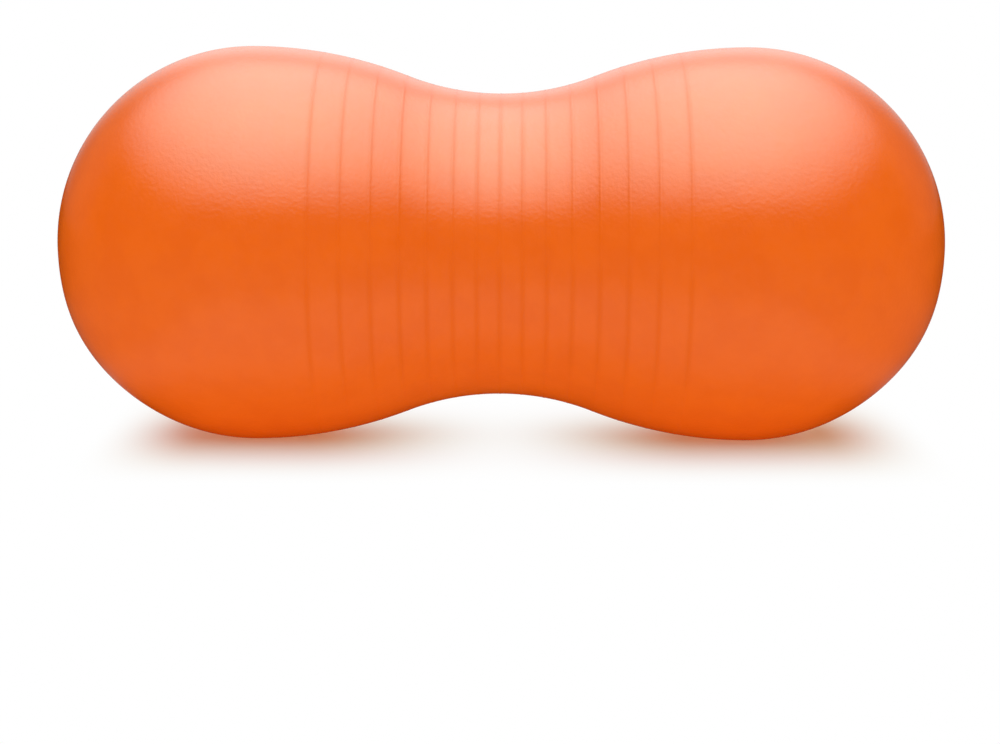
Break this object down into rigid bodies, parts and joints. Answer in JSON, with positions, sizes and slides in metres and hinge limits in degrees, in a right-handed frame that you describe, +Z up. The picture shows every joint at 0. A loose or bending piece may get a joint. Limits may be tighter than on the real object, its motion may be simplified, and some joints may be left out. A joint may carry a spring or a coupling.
{
  "type": "peanut ball",
  "caption": "Air-filled exercise ball shaped like a peanut: round lobes joined by a ringed waist, in a satin PVC skin with a plugged air valve, for sitting, lying and rolling on.",
  "frame": {"origin": "on the floor under the middle of the waist, the centre of the underside of the ball's box", "axes": "+X along the ball, to the end with the valve; +Z up"},
  "size_m": [0.9, 0.4, 0.3984],
  "materials": {
    "orange_pvc": "satin",
    "white_plug": "satin"
  },
  "bodies": {
    "ball": {"ball_shell": "orange_pvc", "valve_seat": "orange_pvc"},
    "plug": {"air_plug": "white_plug"}
  },
  "joints": [
    {"name": "plug_pull", "type": "slide", "parent": "ball", "child": "plug", "axis": [1, 0, 0], "range_m": [0, 0.03]}
  ]
}
